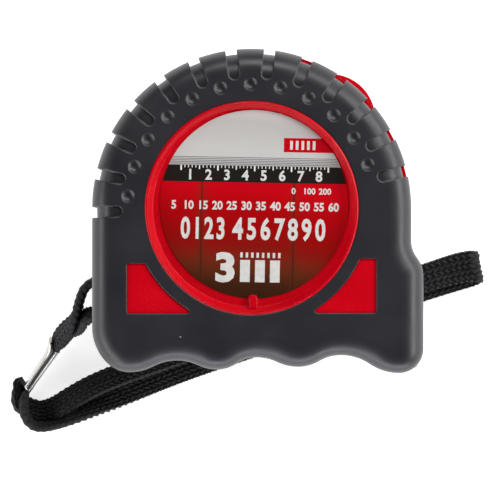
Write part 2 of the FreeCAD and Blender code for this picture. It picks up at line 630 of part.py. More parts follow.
plate = box(hook_x, hook_x + S.hook_thick, blade_top - S.hook_drop, tongue_top, z_mid - S.hook_half, z_mid + S.hook_half)
corners = [e for e in plate.Edges if e.BoundBox.XLength > 0.9 * S.hook_thick and e.BoundBox.YLength < 1e-6 and e.BoundBox.ZLength < 1e-6 and e.BoundBox.YMin < blade_top - S.hook_drop + 0.1]
plate = plate.makeFillet(2.5, corners)
arm = box(hook_x - S.hook_tongue, hook_x + 0.1, tongue_top - S.hook_thick, tongue_top, z_mid - 6.0, z_mid + 6.0)
nose = [e for e in arm.Edges if e.BoundBox.YLength > 0.9 * S.hook_thick and e.BoundBox.XMax < hook_x - S.hook_tongue + 0.1 and e.BoundBox.ZLength < 1e-6]
arm = arm.makeFillet(3.0, nose)
hook = plate.fuse(arm).removeSplitter()
play = S.hook_play
for x in rivet_x:
    for z in rivet_z:
        rr = S.rivet_radius + S.run_clear
        slot = Part.makeCylinder(rr, 4, V(x, blade_top - 3.4, z), V(0, 1, 0))
        back = Part.makeCylinder(rr, 4, V(x - play, blade_top - 3.4, z), V(0, 1, 0))
        mid = box(x - play, x, blade_top - 3.4, blade_top + 0.6, z - rr, z + rr)
        hook = hook.cut([slot, back, mid])
mid_cut = Part.makeCylinder(1.3, 6, V(hook_x - 2, blade_top - S.hook_drop * 0.62, z_mid), V(1, 0, 0))
hook = hook.cut(mid_cut)
feature("end_hook", smooth(hook))

rivets = []
for i, x in enumerate(rivet_x):
    for j, z in enumerate(rivet_z):
        shank = doc.addObject("Part::Cylinder", "rivet_shank_%d%d" % (i, j))
        shank.setExpression("Radius", "Sizes.rivet_radius")
        shank.setExpression("Height", "Sizes.hook_thick + Sizes.blade_thick + 0.9")
        head = doc.addObject("Part::Cylinder", "rivet_head_%d%d" % (i, j))
        head.setExpression("Radius", "Sizes.rivet_head")
        head.Height = 0.4
        foot = doc.addObject("Part::Cylinder", "rivet_foot_%d%d" % (i, j))
        foot.setExpression("Radius", "Sizes.rivet_head")
        foot.Height = 0.35
        lift = crown_r - math.sqrt(crown_r ** 2 - (abs(z - z_mid) + S.rivet_head) ** 2)
        top = blade_top + lift + 0.02
        low = tongue_top - S.hook_thick - 0.05
        shank.setExpression("Height", None)
        shank.Height = top - low
        for o, y0 in ((shank, low), (head, top), (foot, low - 0.35)):
            o.Placement = FreeCAD.Placement(V(x, y0, z), FreeCAD.Rotation(V(1, 0, 0), -90))
        rivets += [shank, head, foot]
node(joined("Fuse", "rivets", rivets[0], *rivets[1:]), "hook_rivets")

half = S.blade_width / 2 + S.mouth_side
outer = primitive("Box", "guide_outer", Length="Sizes.guide_long", Width="Sizes.mouth_high + 2 * Sizes.guide_wall",
                  Height="Sizes.blade_width + 2 * Sizes.mouth_side + 2 * Sizes.guide_wall",
                  where={"x": "%s - Sizes.guide_long" % X_FRONT, "y": "%s - 0.35 - Sizes.mouth_high / 2 - Sizes.guide_wall" % X_BLADE,
                         "z": "%s - Sizes.blade_width / 2 - Sizes.mouth_side - Sizes.guide_wall" % X_MID})
inner = primitive("Box", "guide_inner", Length="Sizes.guide_long + 2", Width="Sizes.mouth_high",
                  Height="Sizes.blade_width + 2 * Sizes.mouth_side",
                  where={"x": "%s - Sizes.guide_long - 1" % X_FRONT, "y": "%s - 0.35 - Sizes.mouth_high / 2" % X_BLADE,
                         "z": "%s - Sizes.blade_width / 2 - Sizes.mouth_side" % X_MID})
node(joined("Cut", "guide", outer, inner), "nose_guide")
pad = primitive("Box", "bumper", Length="Sizes.bumper_thick", Width="%r" % (bumper_high - bumper_low), Height="12",
                where={"x": "%s - Sizes.bumper_thick" % X_FRONT, "y": "%r" % bumper_low, "z": "%s - 6" % X_MID})
node(pad, "hook_bumper")

# ------------------------------------------------------- lock
tongue_out = cavity_radius - S.slide_clear
tongue_in = tongue_out - S.tongue_thick
land_r = S.land_radius - 32.7 + S.rim_radius
neck = sector(tongue_out - 0.02, land_r + S.slide_clear + 0.2, S.button_start + 2.5, S.button_end - 2.5, z_mid - S.neck_half, z_mid + S.neck_half)
crest = S.rim_radius + S.button_rise
b0, b1 = S.button_start, S.button_end
low_r = land_r + S.slide_clear
top_edges = [Part.Arc(polar(low_r, b0), polar(crest, (b0 + b1) / 2), polar(low_r, b1)).toShape(), arc((0, 0), low_r, b1, b0)]
capsule = Part.Face(Part.Wire(top_edges))
capsule.translate(V(0, 0, z_mid - S.button_half))
cap_solid = capsule.extrude(V(0, 0, 2 * S.button_half))
ridges = []
for k in range(5):
    a = (b0 + b1) / 2 + (k - 2) * 2.1
    ridges.append(Part.makeCylinder(0.32, 2 * S.button_half - 1.6, polar(crest + 0.05 - 0.012 * (k - 2) ** 2 * 4, a, z_mid - S.button_half + 0.8), V(0, 0, 1)))
button = cap_solid.cut(ridges).fuse(neck)
feature("lock_button", smooth(button))
curl = crown_r - math.sqrt(crown_r ** 2 - S.tongue_half ** 2)
reach = math.degrees(math.asin((-blade_top - curl - S.slide_clear) / tongue_out))      # where the tongue meets the blade
tongue = sector(tongue_in, tongue_out - 0.02, -(reach - S.lock_travel), S.button_end + 4, z_mid - S.tongue_half, z_mid + S.tongue_half)
feature("brake_tongue", tongue)

# ------------------------------------------------------- screws, clip, bar
def screw(name, x, y, z_head, head_r, head_h, r, length):
    """x, y and the level of the underside of the head are numbers; the head faces -Z."""
    h = doc.addObject("Part::Cylinder", name + "_head")
    h.setExpression("Radius", head_r)
    h.setExpression("Height", head_h)
    h.Placement.Base = V(x, y, z_head - evaluate(head_h))
    b = doc.addObject("Part::Cylinder", name + "_shank")
    b.setExpression("Radius", r)
    b.setExpression("Height", length)
    b.Placement.Base = V(x, y, z_head)
    f = joined("Fuse", name + "_blank", h, b)
    cross = []
    for i, (a, c) in enumerate(((0.55, 2.4), (2.4, 0.55))):
        k = doc.addObject("Part::Box", "%s_drive_%d" % (name, i))
        k.Length, k.Width, k.Height = a, c, 0.8
        k.Placement.Base = V(x - a / 2, y - c / 2, z_head - evaluate(head_h) - 0.1)
        cross.append(k)
    return joined("Cut", name + "_cut", f, *cross)


screws = [screw("case_screw_%d" % i, x, y, screw_low + S.screw_head_high, "Sizes.screw_head", "Sizes.screw_head_high", "Sizes.screw_radius",
                "%s - 0.4 - %r" % (X_HIGH, screw_low + S.screw_head_high)) for i, (x, y) in enumerate(screw_places)]
node(joined("Fuse", "screw_set", screws[0], *screws[1:]), "case_screws")
node(screw("clip_screw_part", 0, S.clip_screw_at, z_back - S.sheet_thick, "Sizes.clip_screw_head", "1.2", "Sizes.clip_screw_radius",
           "Sizes.sheet_thick + Sizes.rubber_face + Sizes.wall_face - 0.1"), "clip_screw")
bar = primitive("Cylinder", "bar", {"x": "-Sizes.rim_radius + Sizes.bar_inset", "y": "-Sizes.bar_below", "z": "%s - Sizes.pocket_half - 2.5" % X_MID},
                Radius="Sizes.bar_radius", Height="2 * Sizes.pocket_half + 5")
node(bar, "strap_bar")

# belt clip: one bent sheet seen from its edge, in the plane of Y and Z
t = S.sheet_thick
bend = (S.belt_gap - t) / 2 + t             # outer radius of the U at the top
top_y = S.clip_top - bend
zc = bend
e = []
P = lambda y, z: V(-S.clip_half, y, z)
tip_a = math.radians(55)
tr = 2.2                                    # inner radius of the tip's curl
ty, tz = -S.clip_foot, 0.0
# lower face of the outer leg, from the bend to the tip, and back along the upper face
c_tip = P(ty, tr + t)
o1 = c_tip + V(0, -(tr + t) * math.sin(tip_a), -(tr + t) * math.cos(tip_a))
om = c_tip + V(0, -(tr + t) * math.sin(tip_a / 2), -(tr + t) * math.cos(tip_a / 2))
i1 = c_tip + V(0, -tr * math.sin(tip_a), -tr * math.cos(tip_a))
im = c_tip + V(0, -tr * math.sin(tip_a / 2), -tr * math.cos(tip_a / 2))
e.append(Part.LineSegment(P(top_y, 0), P(ty, 0)).toShape())
e.append(Part.Arc(P(ty, 0), om, o1).toShape())
e.append(Part.LineSegment(o1, i1).toShape())
e.append(Part.Arc(i1, im, P(ty, t)).toShape())
e.append(Part.LineSegment(P(ty, t), P(top_y, t)).toShape())
e.append(Part.Arc(P(top_y, t), P(top_y + bend - t, zc), P(top_y, 2 * bend - t)).toShape())
e.append(Part.LineSegment(P(top_y, 2 * bend - t), P(S.clip_inner, 2 * bend - t)).toShape())
e.append(Part.LineSegment(P(S.clip_inner, 2 * bend - t), P(S.clip_inner, 2 * bend)).toShape())
e.append(Part.LineSegment(P(S.clip_inner, 2 * bend), P(top_y, 2 * bend)).toShape())
e.append(Part.Arc(P(top_y, 2 * bend), P(top_y + bend, zc), P(top_y, 0)).toShape())
clip = Part.Face(Part.Wire(Part.__sortEdges__(e))).extrude(V(2 * S.clip_half, 0, 0))
clip = clip.cut([rod(0, S.clip_screw_at, S.driver_hole, -1, S.belt_gap / 2), rod(0, S.clip_screw_at, S.clip_screw_radius, S.belt_gap / 2, z_back + 1)])
feature("belt_clip", clip)

# ------------------------------------------------------- wrist strap
# Both loops lie as they fell: the eye hangs from the bar down to the ferrule,
# and the hand loop lies on the surface, one run over the other, under the case.
ferrule_foot, ferrule_top = V(-48.8, -37.7, 3.9), V(-42.3, -29.2, 5.4)
axis = (ferrule_foot - ferrule_top).normalize()
side = V(-0.794, 0.608, 0)
z_eye = z_mid - S.pocket_half + 3.2
eye = [ferrule_top + side * 0.95 - axis * 0.5, V(-41.3, -27.0, 6.1), V(-39.1, -25.1, 8.5), V(-37.3, -23.4, 10.8), V(-36.3, -21.5, 13.0),
       V(-35.7, -19.1, 15.2), V(-34.0, -15.6, z_eye - 0.2), V(-29.8, -14.35, z_eye), V(-26.95, -16.6, z_eye), V(-26.95, -20.1, z_eye),
       V(-29.6, -22.5, z_eye), V(-33.1, -22.5, z_eye), V(-34.8, -23.3, 15.6), V(-36.4, -24.8, 13.0), V(-38.1, -26.7, 9.8),
       V(-39.7, -28.6, 7.0), ferrule_top - side * 1.05 - axis * 0.5]
hand = [ferrule_foot - side * 0.95 + axis * 0.5, V(-48.6, -40.2, 4.8), V(-48.7, -41.8, 5.2), V(-48.5, -43.7, 5.1), V(-47.7, -45.4, 4.6),
        V(-46.0, -46.4, 3.5), V(-43.2, -45.3, 2.1), V(-38.7, -43.1, 1.1), V(-28.6, -39.3, 1.0), V(-16.8, -34.7, 1.0), V(-8.0, -31.6, 1.0),
        V(14.0, -24.1, 1.0), V(35.6, -16.8, 1.0), V(43.6, -14.4, 1.0), V(48.6, -12.8, 0.95), V(48.9, -12.2, 4.7), V(44.5, -12.4, 3.6),
        V(36.1, -14.8, 3.2), V(14.0, -21.5, 3.2), V(-10.0, -28.9, 3.2), V(-23.8, -34.0, 3.2), V(-33.7, -38.0, 3.2), V(-39.1, -41.2, 3.4),
        V(-42.1, -43.0, 3.3), V(-45.1, -43.7, 1.6), V(-47.5, -43.2, 1.1), V(-49.4, -42.2, 1.6), V(-50.8, -40.6, 2.9), V(-51.0, -38.9, 3.6),
        ferrule_foot + side * 0.95 + axis * 0.5]


def laid(name, points, d):
    """A round cord along straight runs joined by tangent arcs."""
    edges, radii, at = [], [], points[0]
    for a, p, b in zip(points, points[1:], points[2:]):
        u, w = a - p, b - p
        lu, lw = u.Length, w.Length
        u.normalize()
        w.normalize()
        half = (math.pi - u.getAngle(w)) / 2
        cut = 0.45 * min(lu, lw)
        r = cut / math.tan(half)
        radii.append(round(r, 1))
        start, end = p + u * cut, p + w * cut
        mid = p + (u + w).normalize() * (r / math.cos(half) - r)
        edges.append(Part.LineSegment(at, start).toShape())
        edges.append(Part.Arc(start, mid, end).toShape())
        at = end
    edges.append(Part.LineSegment(at, points[-1]).toShape())
    path = Part.Wire(edges)
    first = (points[1] - points[0]).normalize()
    ring = Part.Wire([Part.makeCircle(d / 2, points[0], first)])
    tube = path.makePipeShell([ring], True, False)
    if tube.Volume < 0:
        tube.reverse()
    whole = math.pi * d * d / 4 * path.Length
    print("%s: length %.1f mm, volume %.2f of %.2f, radii %s" % (name, path.Length, tube.Volume, whole, radii))
    feature(name, tube)
    return path.Length


laid("strap_eye", eye, S.strap_thick)
laid("wrist_strap", hand, S.strap_thick)
ferrule = Part.makeBox((ferrule_foot - ferrule_top).Length, S.ferrule_wide, S.ferrule_high, V(0, -S.ferrule_wide / 2, -S.ferrule_high / 2))
ferrule = ferrule.makeFillet(S.ferrule_wide * 0.42, [e for e in ferrule.Edges if e.BoundBox.XLength > 5])
crimp = [Part.makeCylinder(0.35, 9, V(x, S.ferrule_wide / 2 + 0.1, -4.5), V(0, 0, 1)) for x in (3.4, 5.1, 6.8)]
obj = feature("strap_ferrule", ferrule.cut(crimp))
up = axis.cross(side).normalize()
if up.z < 0:
    up = up * -1
m = FreeCAD.Matrix(axis.x, up.cross(axis).x, up.x, ferrule_top.x, axis.y, up.cross(axis).y, up.y, ferrule_top.y,
                   axis.z, up.cross(axis).z, up.z, ferrule_top.z, 0, 0, 0, 1)
obj.Placement = FreeCAD.Placement(m)

# ------------------------------------------------------- check and write
doc.recompute()
for o in doc.Objects:
    if "Invalid" in o.State or "Error" in o.State:
        raise RuntimeError("%s failed: %s" % (o.Name, o.State))
os.makedirs("parts", exist_ok=True)
for o in NODES:
    shape = o.Shape
    if shape.isNull() or not shape.isValid() or not shape.Solids:
        raise RuntimeError("%s is not a valid solid" % o.Label)
    b = shape.BoundBox
    print("%-16s solids %d volume %9.2f  x %.2f..%.2f y %.2f..%.2f z %.2f..%.2f" % (
        o.Label, len(shape.Solids), shape.Volume, b.XMin, b.XMax, b.YMin, b.YMax, b.ZMin, b.ZMax))
    shape.exportStep("parts/%s.step" % o.Label)
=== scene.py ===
import math

import bmesh
import bpy
from mathutils import Matrix, Vector


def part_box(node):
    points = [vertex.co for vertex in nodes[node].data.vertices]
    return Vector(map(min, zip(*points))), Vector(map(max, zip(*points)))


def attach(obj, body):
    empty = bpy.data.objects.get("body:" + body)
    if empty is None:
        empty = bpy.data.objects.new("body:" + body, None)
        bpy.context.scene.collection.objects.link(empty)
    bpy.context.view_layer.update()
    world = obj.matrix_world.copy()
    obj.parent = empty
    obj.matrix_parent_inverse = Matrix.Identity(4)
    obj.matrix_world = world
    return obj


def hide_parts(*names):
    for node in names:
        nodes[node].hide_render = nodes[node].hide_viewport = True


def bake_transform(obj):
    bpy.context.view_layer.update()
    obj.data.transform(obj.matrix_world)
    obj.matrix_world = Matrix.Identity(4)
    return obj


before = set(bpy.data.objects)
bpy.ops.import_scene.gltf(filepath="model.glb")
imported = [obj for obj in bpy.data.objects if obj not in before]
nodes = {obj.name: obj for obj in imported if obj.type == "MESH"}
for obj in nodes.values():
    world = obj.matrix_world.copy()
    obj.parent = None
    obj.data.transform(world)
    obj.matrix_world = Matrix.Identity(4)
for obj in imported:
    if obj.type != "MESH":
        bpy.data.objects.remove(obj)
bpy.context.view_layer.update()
MM = 0.001

# ---------------------------------------------------------------- camera
# A long lens straight above the labelled face, as for a catalogue plate.
# The case lies on its back, and the lens stands over the middle of the case
# and its strap, parallel to the reel's axis and a little nearer the foot.
parting_level = (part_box("front_jacket")[0][2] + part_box("rear_jacket")[1][2]) / 2
plate_x, plate_y = -0.346 * MM, -8.559 * MM
plate_width, lens_height, sensor = 0.104167, 0.600, 36.0
camera = bpy.data.objects.new("plate_camera", bpy.data.cameras.new("plate_camera"))
bpy.context.scene.collection.objects.link(camera)
camera.location = (plate_x, plate_y, parting_level + lens_height)
camera.data.sensor_width = sensor
camera.data.lens = sensor * lens_height / plate_width
camera.data.clip_start = 0.01
bpy.context.scene.camera = camera

# ---------------------------------------------------------------- wrist strap
# Flat plait of black polyester, about 6 mm wide and 1.9 mm thick, woven on
# a braider.  One length makes the eye round the bar in the case and another
# the hand loop; their four ends are held in the crimped ferrule.
HALF_WIDTH, HALF_THICK = 2.85 * MM, 0.80 * MM
COLUMNS, PER_COLUMN = 6, 6  # stitches side by side on a face, and points across each
STITCH, LEAN = 1.35 * MM, 0.95  # length of a stitch, and how far it leans in its column
CREST, MEAN_RELIEF = 0.5 * MM, 0.66
THIN_EDGE = 0.34  # thickness at the plait's edges, as a share of that in its middle
RING_STEP = 0.2 * MM
PRESSED, PRESS_START, PRESS_RUN = 0.5, 1.5, 2.0  # thickness in the crimp; millimetres from an end


def strap_line(route, edges, step):
    """Centres and width directions at even steps along a smooth route in millimetres."""
    probe = 3.0  # a second line is laid this far along the width direction
    lines = []
    for reach in (0.0, probe):
        curve = bpy.data.curves.new("route", "CURVE")
        curve.dimensions = "3D"
        curve.resolution_u = 48
        spline = curve.splines.new("NURBS")
        spline.points.add(len(route) - 1)
        for knot, point, width in zip(spline.points, route, edges):
            knot.co = (*((Vector(point) + Vector(width) * reach) * MM), 1.0)
        spline.order_u = 3
        spline.use_endpoint_u = True
        holder = bpy.data.objects.new("route", curve)
        mesh = bpy.data.meshes.new_from_object(holder)
        lines.append([v.co.copy() for v in mesh.vertices])
        bpy.data.objects.remove(holder)
        bpy.data.meshes.remove(mesh)
    centre, edge = lines
    run = [0.0]
    for a, b in zip(centre, centre[1:]):
        run.append(run[-1] + (b - a).length)
    count = round(run[-1] / step)
    stops, k = [], 0
    for i in range(count + 1):
        s = run[-1] * i / count
        while k < len(run) - 2 and run[k + 1] < s:
            k += 1
        t = min(1.0, (s - run[k]) / max(run[k + 1] - run[k], 1e-9))
        width = (edge[k] - centre[k]).lerp(edge[k + 1] - centre[k + 1], t) / (probe * MM)
        stops.append((s, centre[k].lerp(centre[k + 1], t), width))
    return stops, run[-1]


def dome(t):
    """Height of a stitch: 1 in its middle and nearly 0 at its borders, t = 0 and t = 1."""
    return math.sqrt(max(0.0, 1 - (2 * t - 1) ** 2 * 0.97))


def plait(name, route, edges):
    """A flat plait with columns of slanting stitches on both faces, which lean left and
    right by turns; both ends are pressed to half the thickness."""
    line, length = strap_line(route, edges, RING_STEP)
    points = COLUMNS * PER_COLUMN
    places = [((i + 0.5) / points * 2 - 1, face) for face in (1, -1) for i in range(points)]
    bm = bmesh.new()
    layers = [bm.verts.layers.float.new(n) for n in ("across", "along", "relief")]
    rings = []
    for k, (s, centre, width) in enumerate(line):
        before, after = line[max(0, k - 1)][1], line[min(len(line) - 1, k + 1)][1]
        tangent = (after - before).normalized()
        across = width - tangent * width.dot(tangent)
        across.normalize()
        up = tangent.cross(across).normalized()
        gather = min(1.2, max(0.7, width.length))
        from_end = min(s, length - s) / MM
        loose = min(1.0, max(0.0, (from_end - PRESS_START) / PRESS_RUN))
        press = PRESSED + (1 - PRESSED) * loose
        row = s / STITCH
        swell = 1 + 0.07 * math.cos(2 * math.pi * row)
        ring = []
        for u, face in places:
            column = (u + 1) / 2 * COLUMNS + 0.5
            c = int(column)
            frac = column - c
            slant = 1 if (c + (face < 0)) % 2 else -1
            turn = (row + slant * (frac - 0.5) * LEAN + 0.5 * (c % 2)) % 1.0
            relief = dome(frac) * dome(turn)
            round_off = math.sqrt(max(0.0, 1 - abs(u) ** 4))
            scallop = 1 + 0.06 * math.cos(2 * math.pi * (row + (0.5 if u > 0 else 0.0)))
            body = HALF_THICK * (THIN_EDGE + (1 - THIN_EDGE) * round_off) * swell
            lift = press * (body + CREST * (relief - MEAN_RELIEF))
            sideways = u * face * HALF_WIDTH * gather * scallop
            v = bm.verts.new(centre + across * sideways + up * face * lift)
            for layer, value in zip(layers, (u, s, relief)):
                v[layer] = value
            ring.append(v)
        rings.append(ring)
    for r0, r1 in zip(rings, rings[1:]):
        for i in range(len(places)):
            j = (i + 1) % len(places)
            bm.faces.new((r0[i], r0[j], r1[j], r1[i]))
    for ring in (rings[0], rings[-1]):
        bmesh.ops.triangulate(bm, faces=[bm.faces.new(ring)])
    bmesh.ops.recalc_face_normals(bm, faces=bm.faces)
    return piece_of(name, bm), [p for _, p, _ in line], length


def piece_of(name, bm, smooth=True):
    """An object in the scene made of the bmesh, which is used up."""
    mesh = bpy.data.meshes.new(name)
    bm.to_mesh(mesh)
    bm.free()
    mesh.polygons.foreach_set("use_smooth", [smooth] * len(mesh.polygons))
    piece = bpy.data.objects.new(name, mesh)
    bpy.context.scene.collection.objects.link(piece)
    return piece


def finish_of(name, colour, roughness, metallic=0.0, level=0.5):
    """A new material, its nodes and its shader."""
    material = bpy.data.materials.new(name)
    material.use_nodes = True
    shader = material.node_tree.nodes["Principled BSDF"]
    shader.inputs["Base Color"].default_value = (*colour, 1.0)
    shader.inputs["Roughness"].default_value = roughness
    shader.inputs["Metallic"].default_value = metallic
    shader.inputs["Specular IOR Level"].default_value = level
    return material, material.node_tree, shader


def wire(tree, source, socket):
    tree.links.new(source, socket)


def feed(tree, socket, value):
    """Link a socket to another, or set its value; a bare colour gets its alpha."""
    if isinstance(value, bpy.types.NodeSocket):
        wire(tree, value, socket)
    elif socket.type == "RGBA":
        socket.default_value = (*value, 1.0)
    else:
        socket.default_value = value


def add(tree, kind, **values):
    """A node with its sockets fed; a name that starts with set_ is a setting."""
    node = tree.nodes.new("ShaderNode" + kind)
    for key, value in values.items():
        if key.startswith("set_"):
            setattr(node, key[4:], value)
        else:
            feed(tree, node.inputs[key.replace("_", " ")], value)
    return node


def maths(tree, operation, a, b=0.0, c=0.0):
    """The result of one sum on values or sockets."""
    node = tree.nodes.new("ShaderNodeMath")
    node.operation = operation
    for socket, value in zip(node.inputs, (a, b, c)):
        feed(tree, socket, value)
    return node.outputs[0]


def both(tree, a, b):
    return maths(tree, "MULTIPLY", a, b)


def ramp(tree, fac, *stops):
    """Colours, or single values, along a ramp from 0 to 1."""
    node = tree.nodes.new("ShaderNodeValToRGB")
    bar = node.color_ramp
    while len(bar.elements) < len(stops):
        bar.elements.new(0.5)
    for element, (place, colour) in zip(bar.elements, stops):
        element.position = place
        element.color = (*(colour if isinstance(colour, tuple) else (colour,) * 3), 1.0)
    wire(tree, fac, node.inputs["Fac"])
    return node.outputs["Color"]


def object_place(tree):
    return add(tree, "TexCoord").outputs["Object"]


def attribute(tree, name):
    return add(tree, "Attribute", set_attribute_name=name).outputs["Fac"]


def noise(tree, **values):
    return add(tree, "TexNoise", **values).outputs["Fac"]


def bump(tree, **values):
    return add(tree, "Bump", **values).outputs[0]


plait_cloth, tree, shader = finish_of("black_plait", (0.006, 0.006, 0.007), 0.5, level=0.28)
relief = attribute(tree, "relief")
fibre = add(tree, "CombineXYZ", X=both(tree, attribute(tree, "across"), 26.0),
            Y=both(tree, attribute(tree, "along"), 1500.0)).outputs[0]
threads = add(tree, "TexWave", Vector=fibre, Scale=1.3, Distortion=3.0, Detail=2.0).outputs["Fac"]
fuzz = noise(tree, Vector=object_place(tree), Scale=2600.0, Detail=4.0)
yarn = maths(tree, "ADD", both(tree, threads, 0.45), both(tree, fuzz, 0.75))
# Painted shade and painted highlight: the colour is darkest between the stitches and lightest on
# their raised tops, following each stitch's relief, with the yarn's threads and fuzz mixed in.
relief_shade_and_yarn = both(tree, relief, yarn)
painted_gap_shade, flank, painted_crest_highlight = (0.0004, 0.0004, 0.0006), (0.0030, 0.0028, 0.0038), (0.028, 0.026, 0.030)
wire(tree, ramp(tree, relief_shade_and_yarn, (0.12, painted_gap_shade), (0.36, flank), (0.64, painted_crest_highlight)), shader.inputs["Base Color"])
wire(tree, bump(tree, Strength=0.6, Distance=0.00010, Height=relief_shade_and_yarn), shader.inputs["Normal"])
shader.inputs["Sheen Weight"].default_value = 0.02
shader.inputs["Sheen Roughness"].default_value = 0.4

# Each stop of a route is a place in millimetres and the plait's width
# direction there, whose length gathers the plait or spreads it.
UPRIGHT = (0.03, 0.05, 0.93)
RUN, BACK = (0.35, -0.93, 0.0), (0.30, -0.95, 0.0)
FOLD, RAISED = (0.25, -1.13, 0.0), (0.29, -0.72, 0.55)
hand_route = [
    # down out of the ferrule on edge, and round the near end of the loop
    ((-46.9, -37.4, 4.0), UPRIGHT),
    ((-47.75, -38.6, 4.0), UPRIGHT),
    ((-48.35, -39.6, 4.4), (0, 0, 0.9)),
    ((-48.7, -41.6, 5.1), (0, 0, 0.86)),
    ((-48.5, -43.7, 5.1), (0, 0, 0.86)),
    ((-47.7, -45.3, 4.6), (0.02, -0.05, 0.9)),
    ((-46.0, -46.4, 3.6), (0.06, -0.15, 0.93)),
    ((-43.0, -46.0, 3.0), (0.09, -0.24, 0.93)),
    ((-38.3, -44.2, 2.7), (0.17, -0.4, 0.86)),
    ((-33.9, -41.9, 2.1), (0.27, -0.66, 0.62)),
    ((-28.6, -39.6, 1.3), (0.34, -0.88, 0.2)),
    # flat under the case, to the fold at the far end
    ((-16.8, -34.7, 1.0), RUN),
    ((-8.0, -31.6, 1.0), RUN),
    ((14.0, -24.1, 1.0), BACK),
    ((35.6, -17.1, 1.0), BACK),
    ((43.6, -14.6, 1.0), BACK),
    ((48.1, -12.9, 1.0), FOLD),
    ((48.5, -11.8, 4.7), FOLD),
    ((44.5, -12.3, 3.6), FOLD),
    # back on top of itself
    ((36.1, -14.8, 3.2), BACK),
    ((14.0, -21.5, 3.2), BACK),
    ((-10.2, -28.6, 3.3), (0.32, -0.85, 0.3)),
    ((-24.0, -33.6, 3.5), RAISED),
    ((-33.9, -37.5, 3.5), RAISED),
    ((-39.3, -40.7, 3.5), (0.28, -0.76, 0.5)),
    ((-42.1, -42.6, 3.1), (0.2, -0.85, 0.35)),
    ((-45.0, -43.4, 1.8), (0.08, -0.86, 0.1)),
    # the curl beside the ferrule, with one edge standing up to a point
    ((-47.2, -42.8, 1.4), (-0.3, -0.72, 0.25)),
    ((-49.2, -41.8, 2.1), (-0.45, -0.4, 0.6)),
    ((-49.75, -40.2, 3.0), (-0.5, -0.05, 0.7)),
    ((-49.3, -38.3, 3.5), (-0.42, 0.35, 0.55)),
    ((-48.8, -37.2, 3.8), (-0.2, 0.85, 0.2)),
    ((-48.35, -37.7, 3.9), (-0.35, 0.0, 0.85)),
    ((-47.6, -37.5, 3.9), UPRIGHT),
]
EYE, TURNED = (0.0, 0.0, 1.0), (0.32, -0.22, 0.88)
eye_route = [
    # up from the ferrule and into the pocket of the case
    ((-43.2, -30.8, 5.2), UPRIGHT),
    ((-42.15, -29.6, 5.6), (0.2, -0.1, 0.9)),
    ((-41.35, -27.8, 7.1), TURNED),
    ((-39.75, -25.85, 9.4), TURNED),
    ((-37.9, -24.0, 11.9), (0.2, -0.1, 0.95)),
    ((-36.8, -21.9, 13.8), (-0.05, 0.05, 1.0)),
    ((-36.2, -19.3, 15.0), EYE),
    # round the bar
    ((-34.9, -16.1, 16.4), EYE),
    ((-31.4, -14.3, 16.8), EYE),
    ((-28.4, -14.5, 16.8), EYE),
    ((-26.95, -16.6, 16.8), EYE),
    ((-26.95, -20.1, 16.8), EYE),
    ((-29.6, -22.3, 16.8), EYE),
    # and out again below the first strand
    ((-33.1, -22.3, 16.6), (0.1, -0.3, 0.95)),
    ((-34.9, -23.0, 15.0), (0.15, -0.35, 0.92)),
    ((-36.4, -24.3, 10.6), (0.12, -0.2, 0.95)),
    ((-37.9, -25.7, 7.6), EYE),
    ((-39.8, -27.9, 5.4), EYE),
    ((-41.3, -29.6, 4.9), (0, 0, 0.93)),
    ((-42.6, -31.2, 5.2), (0, 0, 0.93)),
]
hand_loop, hand_path, hand_length = plait("hand_loop", *zip(*hand_route))
eye_loop, eye_path, eye_length = plait("eye_loop", *zip(*eye_route))
for piece, node in ((hand_loop, "wrist_strap"), (eye_loop, "strap_eye")):
    piece.data.materials.append(plait_cloth)
    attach(piece, "case")
    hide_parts(node)

# ---------------------------------------------------------------- ferrule
# A strip of bright tinned steel rolled round the four strap ends and
# crimped: about 10 mm long, with an open seam underneath and a lip at its
# head that flares to one side.
foot, head = Vector((-47.85, -37.85, 3.9)) * MM, Vector((-41.95, -29.35, 5.4)) * MM
tin_wall = 0.3 * MM
rolled_over = math.radians(7)
lip_long, lip_wide = 1.2 * MM, 1.05 * MM
# share of the way up, width and height in millimetres
stations = [(0.0, 1.95, 6.1), (0.06, 1.85, 6.0), (0.35, 1.95, 6.0),
            (0.65, 2.1, 6.1), (0.9, 2.3, 6.3), (1.0, 2.45, 6.4)]

axis = (head - foot).normalized()
leftward = Vector((-axis.y, axis.x, 0.0)).normalized()
rise = axis.cross(leftward).normalized()
rise = rise if rise.z > 0 else -rise
stand = Matrix.Identity(4)
for i, direction in enumerate((leftward, rise, axis)):
    for j in range(3):
        stand[j][i] = direction[j]
stand.translation = foot
bm = bmesh.new()
bmesh.ops.create_circle(bm, segments=32, radius=1.0)
seam = min(bm.edges, key=lambda e: sum(v.co.y - 0.3 * v.co.x for v in e.verts))
bmesh.ops.delete(bm, geom=[seam], context="EDGES")
for v in bm.verts:  # from round to flat-sided
    v.co.x = math.copysign(abs(v.co.x) ** 0.9, v.co.x)
    v.co.y = math.copysign(abs(v.co.y) ** 0.62, v.co.y)
_, wide, tall = stations[0]
bmesh.ops.scale(bm, verts=bm.verts, vec=(wide / 2 * MM, tall / 2 * MM, 1))
rim = list(bm.edges)
for (t0, w0, h0), (t1, w1, h1) in zip(stations, stations[1:]):
    made = bmesh.ops.extrude_edge_only(bm, edges=rim)["geom"]
    rim = [g for g in made if isinstance(g, bmesh.types.BMEdge)]
    tips = [g for g in made if isinstance(g, bmesh.types.BMVert)]
    bmesh.ops.scale(bm, verts=tips, vec=(w1 / w0, h1 / h0, 1))
    bmesh.ops.translate(bm, verts=tips, vec=(0, 0, (head - foot).length * (t1 - t0)))
for v in tips:
    lip = min(1.0, max(0.0, v.co.x / (1.1 * MM) - 0.35) * 2.2)
    v.co.z += lip_long * lip
    v.co.x += lip_wide * lip
bmesh.ops.recalc_face_normals(bm, faces=bm.faces)
